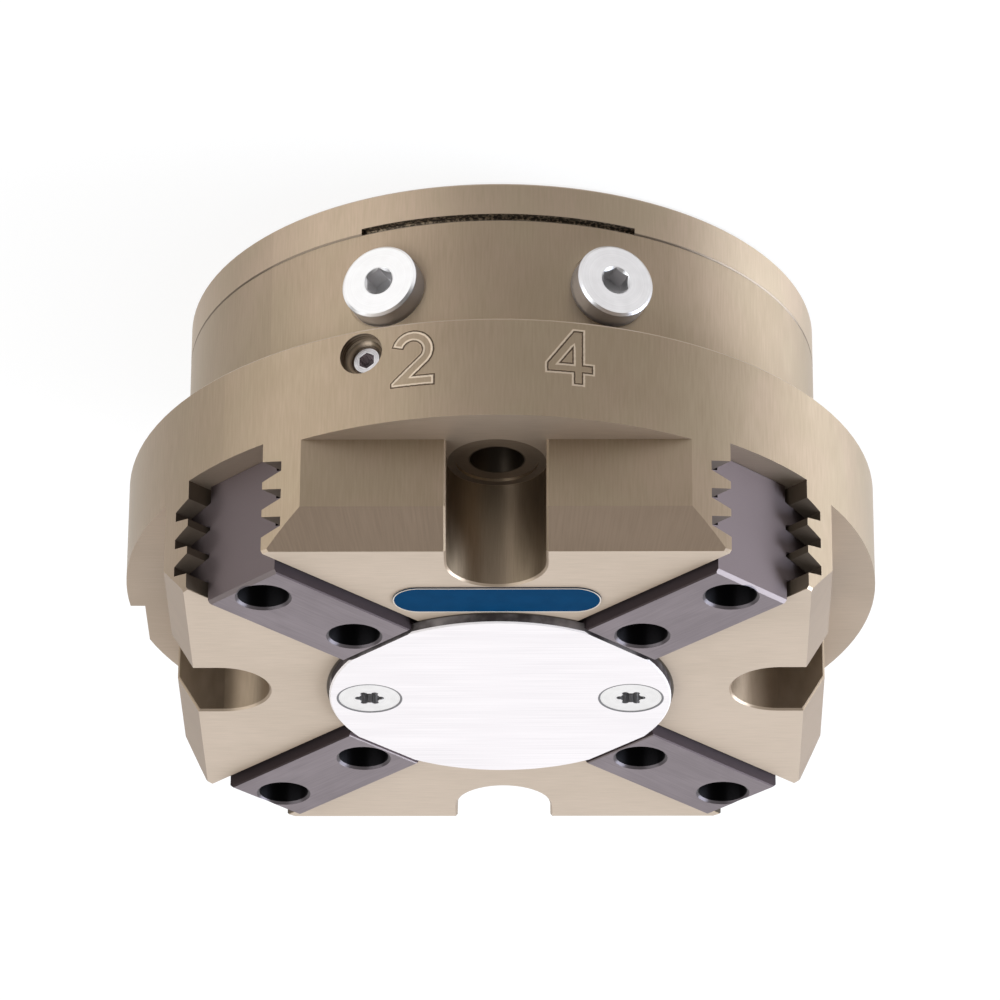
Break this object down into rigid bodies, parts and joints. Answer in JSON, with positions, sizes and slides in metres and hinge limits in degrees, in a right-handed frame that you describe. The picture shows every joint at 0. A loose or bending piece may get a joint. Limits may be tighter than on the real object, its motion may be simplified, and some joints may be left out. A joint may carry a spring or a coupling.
{
  "type": "centric gripper",
  "caption": "Round pneumatic centric gripper: radially sliding base jaws in multi-tooth guideways, moved together by a piston and wedge hook, on a flanged cylinder body.",
  "frame": {"origin": "centre of the mounting face", "axes": "+Z along the tool axis towards the jaws; the jaws slide along +X, +Y, -X and -Y; the air ports face (+X, -Y)"},
  "size_m": [0.15, 0.15, 0.0816],
  "materials": {
    "anodised_body": "satin hard-anodised, champagne grey",
    "jaw_steel": "ground, hardened steel with a faint purple-grey cast",
    "bright_cover": "brushed, nearly white",
    "bright_screws": "bright turned",
    "bright_plugs": "nickel plated",
    "set_screw_steel": "plain",
    "screw_steel": "black oxide",
    "hook_steel": "ground",
    "piston_aluminium": "turned",
    "bush_bronze": "plain bearing",
    "seal_rubber": "nitrile",
    "guide_plastic": "filled bearing plastic"
  },
  "bodies": {
    "housing": {"housing": "anodised_body", "cylinder_cover": "anodised_body", "cover_screws": "screw_steel", "cover_o_ring": "seal_rubber", "centre_cover": "bright_cover", "centre_cover_screws": "bright_screws", "air_plug_a": "bright_plugs", "air_plug_b": "bright_plugs", "air_plug_seals": "seal_rubber", "set_screw": "set_screw_steel", "direct_port_screws": "screw_steel", "rod_guide_bush": "bush_bronze", "rod_seal": "seal_rubber"},
    "piston": {"piston": "piston_aluminium", "piston_seal": "seal_rubber", "piston_guide_ring": "guide_plastic", "wedge_hook": "hook_steel", "piston_screw": "screw_steel"},
    "jaw_1": {"base_jaw_1": "jaw_steel"},
    "jaw_2": {"base_jaw_2": "jaw_steel"},
    "jaw_3": {"base_jaw_3": "jaw_steel"},
    "jaw_4": {"base_jaw_4": "jaw_steel"}
  },
  "joints": [
    {"name": "piston_slide", "type": "slide", "parent": "housing", "child": "piston", "axis": [0, 0, 1], "range_m": [0, 0.0138]},
    {"name": "jaw_1_slide", "type": "slide", "parent": "housing", "child": "jaw_1", "axis": [1, 0, 0], "range_m": [0, 0.00797]},
    {"name": "jaw_2_slide", "type": "slide", "parent": "housing", "child": "jaw_2", "axis": [0, 1, 0], "range_m": [0, 0.00797]},
    {"name": "jaw_3_slide", "type": "slide", "parent": "housing", "child": "jaw_3", "axis": [-1, 0, 0], "range_m": [0, 0.00797]},
    {"name": "jaw_4_slide", "type": "slide", "parent": "housing", "child": "jaw_4", "axis": [0, -1, 0], "range_m": [0, 0.00797]}
  ],
  "couplings": [
    {"joint": "jaw_1_slide", "follows": "piston_slide", "ratio": 0.57735},
    {"joint": "jaw_2_slide", "follows": "piston_slide", "ratio": 0.57735},
    {"joint": "jaw_3_slide", "follows": "piston_slide", "ratio": 0.57735},
    {"joint": "jaw_4_slide", "follows": "piston_slide", "ratio": 0.57735}
  ]
}
